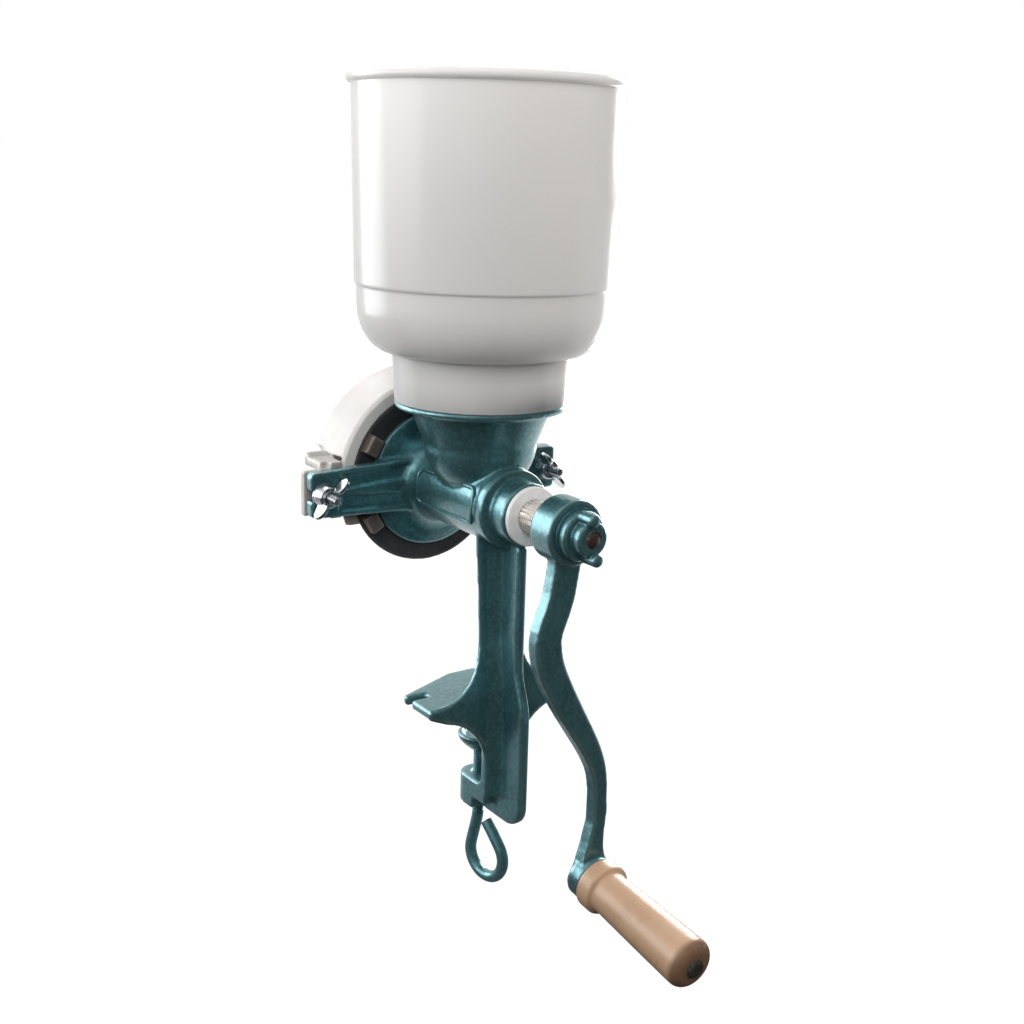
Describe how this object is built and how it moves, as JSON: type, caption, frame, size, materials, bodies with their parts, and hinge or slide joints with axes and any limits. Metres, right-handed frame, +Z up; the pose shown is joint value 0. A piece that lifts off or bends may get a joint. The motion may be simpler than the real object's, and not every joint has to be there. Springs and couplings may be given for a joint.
{
  "type": "hand crank grain mill",
  "caption": "Table-clamped hand grain mill: a cast body with a plastic hopper on top, a feed worm, grinding discs under a guard at the back, and a curved crank with a turning grip.",
  "frame": {"origin": "underside of the clamp's shelf, on the clamp screw's axis", "axes": "+Z up, the crank and its grip at -Y, the grinding discs at +Y, +X to the right seen from the crank"},
  "size_m": [0.1991, 0.3611, 0.534],
  "materials": {
    "cast_paint": "hammertone paint",
    "hopper_white": "moulded, slightly translucent",
    "guard_white": "moulded",
    "bush_white": "machined nylon",
    "shaft_steel": "turned",
    "disc_iron": "cast and ground",
    "bridge_iron": "bare rough casting",
    "zinc_steel": "bright zinc plate",
    "ball_steel": "polished",
    "grip_tan": "moulded",
    "rivet_steel": "hammered over"
  },
  "bodies": {
    "mill": {"mill_body": "cast_paint", "front_bush": "bush_white", "fixed_disc": "disc_iron", "bridge": "bridge_iron", "stud_bolts": "zinc_steel", "guard": "guard_white"},
    "hopper": {"hopper": "hopper_white"},
    "thrust_ball": {"thrust_ball": "ball_steel"},
    "rotor": {"drive_shaft": "shaft_steel", "feed_worm": "disc_iron", "drive_pin": "zinc_steel", "rotating_disc": "disc_iron", "crank_arm": "cast_paint", "grip_pin": "rivet_steel"},
    "adjuster": {"adjusting_screw": "bridge_iron"},
    "lock_nut": {"lock_nut": "zinc_steel"},
    "grip": {"grip": "grip_tan"},
    "crank_washer": {"crank_washer": "zinc_steel"},
    "claw_nut": {"claw_nut": "cast_paint"},
    "clamp_pad": {"clamp_pad": "cast_paint"},
    "clamp_screw": {"clamp_screw": "cast_paint"},
    "washer_left": {"washer_left": "zinc_steel"},
    "wing_left": {"wing_nut_left": "zinc_steel"},
    "washer_right": {"washer_right": "zinc_steel"},
    "wing_right": {"wing_nut_right": "zinc_steel"}
  },
  "joints": [
    {"name": "hopper_lift", "type": "slide", "parent": "mill", "child": "hopper", "axis": [0, 0, 1], "range_m": [0, 0.12]},
    {"name": "disc_gap", "type": "slide", "parent": "mill", "child": "thrust_ball", "axis": [0, 1, 0], "range_m": [-0.0004, 0.003]},
    {"name": "crank_turn", "type": "hinge", "parent": "thrust_ball", "child": "rotor", "pos_m": [0, 0.008, 0.134], "axis": [0, 1, 0], "continuous": true},
    {"name": "adjust_turn", "type": "hinge", "parent": "thrust_ball", "child": "adjuster", "pos_m": [0, 0.128, 0.134], "axis": [0, 1, 0], "range_deg": [-90, 630]},
    {"name": "lock_nut_turn", "type": "hinge", "parent": "adjuster", "child": "lock_nut", "pos_m": [0, 0.133, 0.134], "axis": [0, 1, 0], "range_deg": [-60, 60]},
    {"name": "grip_spin", "type": "hinge", "parent": "rotor", "child": "grip", "pos_m": [0.02794, -0.0951, -0.10386], "axis": [0.0152, -0.9914, -0.1296], "continuous": true},
    {"name": "crank_washer_slide", "type": "slide", "parent": "rotor", "child": "crank_washer", "axis": [0, -1, 0], "range_m": [0, 0.003]},
    {"name": "claw_nut_turn", "type": "hinge", "parent": "crank_washer", "child": "claw_nut", "pos_m": [0, -0.102, 0.134], "axis": [0, -1, 0], "range_deg": [0, 725]},
    {"name": "pad_travel", "type": "slide", "parent": "mill", "child": "clamp_pad", "axis": [0, 0, 1], "range_m": [-0.016, 0.0055]},
    {"name": "clamp_turn", "type": "hinge", "parent": "clamp_pad", "child": "clamp_screw", "pos_m": [0, 0, -0.046], "axis": [0, 0, 1], "range_deg": [-4620, 1600]},
    {"name": "washer_left_slide", "type": "slide", "parent": "mill", "child": "washer_left", "axis": [0, -1, 0], "range_m": [0, 0.006]},
    {"name": "wing_left_turn", "type": "hinge", "parent": "washer_left", "child": "wing_left", "pos_m": [-0.088, 0.05, 0.134], "axis": [0, -1, 0], "range_deg": [0, 2170]},
    {"name": "washer_right_slide", "type": "slide", "parent": "mill", "child": "washer_right", "axis": [0, -1, 0], "range_m": [0, 0.006]},
    {"name": "wing_right_turn", "type": "hinge", "parent": "washer_right", "child": "wing_right", "pos_m": [0.088, 0.05, 0.134], "axis": [0, -1, 0], "range_deg": [0, 2170]}
  ],
  "couplings": [
    {"joint": "adjust_turn", "follows": "disc_gap", "rad_per_m": 3590.4},
    {"joint": "claw_nut_turn", "follows": "crank_washer_slide", "rad_per_m": 4188.8},
    {"joint": "clamp_turn", "follows": "pad_travel", "rad_per_m": 5026.5},
    {"joint": "wing_left_turn", "follows": "washer_left_slide", "rad_per_m": 6283.2},
    {"joint": "wing_right_turn", "follows": "washer_right_slide", "rad_per_m": 6283.2}
  ]
}
